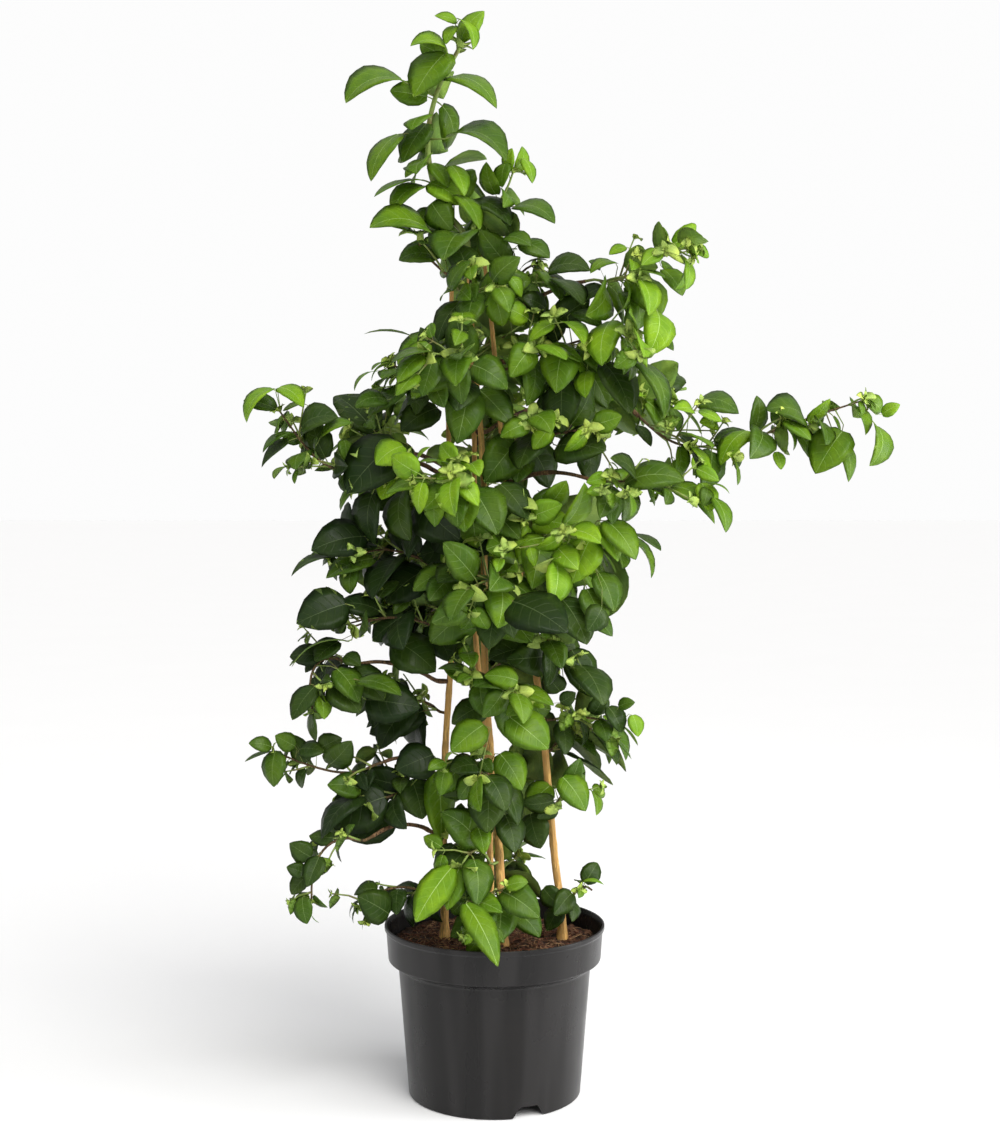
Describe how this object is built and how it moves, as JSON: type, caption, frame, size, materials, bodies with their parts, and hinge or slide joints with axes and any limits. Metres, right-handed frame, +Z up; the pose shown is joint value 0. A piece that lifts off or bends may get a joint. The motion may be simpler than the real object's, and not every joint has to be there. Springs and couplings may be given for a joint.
{
  "type": "potted climbing hydrangea",
  "caption": "Climbing hydrangea shrub trained upright on its own stems in a dark round nursery pot, with dense heart-shaped leaves and long side shoots.",
  "frame": {"origin": "middle of the pot's flat underside", "axes": "+Z up; -Y is the front; +X is the viewer's right as the longest side shoot points"},
  "size_m": [0.6486, 0.3982, 1.0739],
  "materials": {
    "pot": "moulded charcoal plastic with a soft sheen",
    "compost": "damp fibrous compost",
    "stem": "thin peeling brown bark",
    "leaf_dark": "old dark leaves",
    "leaf_green": "full-grown green leaves",
    "leaf_bright": "young bright leaves"
  },
  "bodies": {
    "root": {"pot": "pot", "soil": "compost", "stem_centre": "stem", "stem_left": "stem", "stem_right": "stem", "stem_back": "stem", "bough_upper_right": "stem", "bough_long_right": "stem", "bough_right": "stem", "bough_left_upper": "stem", "bough_left_hanging": "stem", "bough_left_long": "stem", "bough_left_low": "stem", "bough_back_left": "stem", "bough_back_right": "stem", "foliage_leader": "leaf_bright", "foliage_top_right": "leaf_bright", "foliage_top_left": "leaf_green", "foliage_top_back": "leaf_green", "foliage_neck_front": "leaf_green", "foliage_neck_right": "leaf_green", "foliage_neck_back": "leaf_green", "foliage_upper_right": "leaf_bright", "foliage_mid_right": "leaf_green", "foliage_long_right": "leaf_green", "foliage_right_inner": "leaf_dark", "foliage_right": "leaf_green", "foliage_back_right": "leaf_green", "foliage_left_upper": "leaf_green", "foliage_left_mid": "leaf_green", "foliage_back_left": "leaf_green", "foliage_centre_upper": "leaf_green", "foliage_centre_left": "leaf_dark", "foliage_centre_front": "leaf_bright", "foliage_front_right": "leaf_bright", "foliage_front_middle": "leaf_green", "foliage_left_middle": "leaf_dark", "foliage_left_lower": "leaf_dark", "foliage_right_lower": "leaf_dark", "foliage_back_upper": "leaf_green", "foliage_back": "leaf_green", "foliage_back_left_lower": "leaf_dark", "foliage_back_right_lower": "leaf_dark", "foliage_back_lower": "leaf_dark", "foliage_left_hanging": "leaf_dark", "foliage_left_long": "leaf_green", "foliage_left_broad": "leaf_dark", "foliage_left_low": "leaf_green", "foliage_centre_lower": "leaf_bright", "foliage_front_low": "leaf_green", "foliage_right_small": "leaf_green", "foliage_right_low": "leaf_green", "foliage_back_right_low": "leaf_dark", "foliage_back_low": "leaf_green", "foliage_back_left_low": "leaf_dark", "foliage_front_foot": "leaf_bright", "foliage_rim_front": "leaf_bright", "foliage_rim_left": "leaf_green", "foliage_rim_right": "leaf_green", "foliage_rim_back": "leaf_green"}
  },
  "joints": []
}
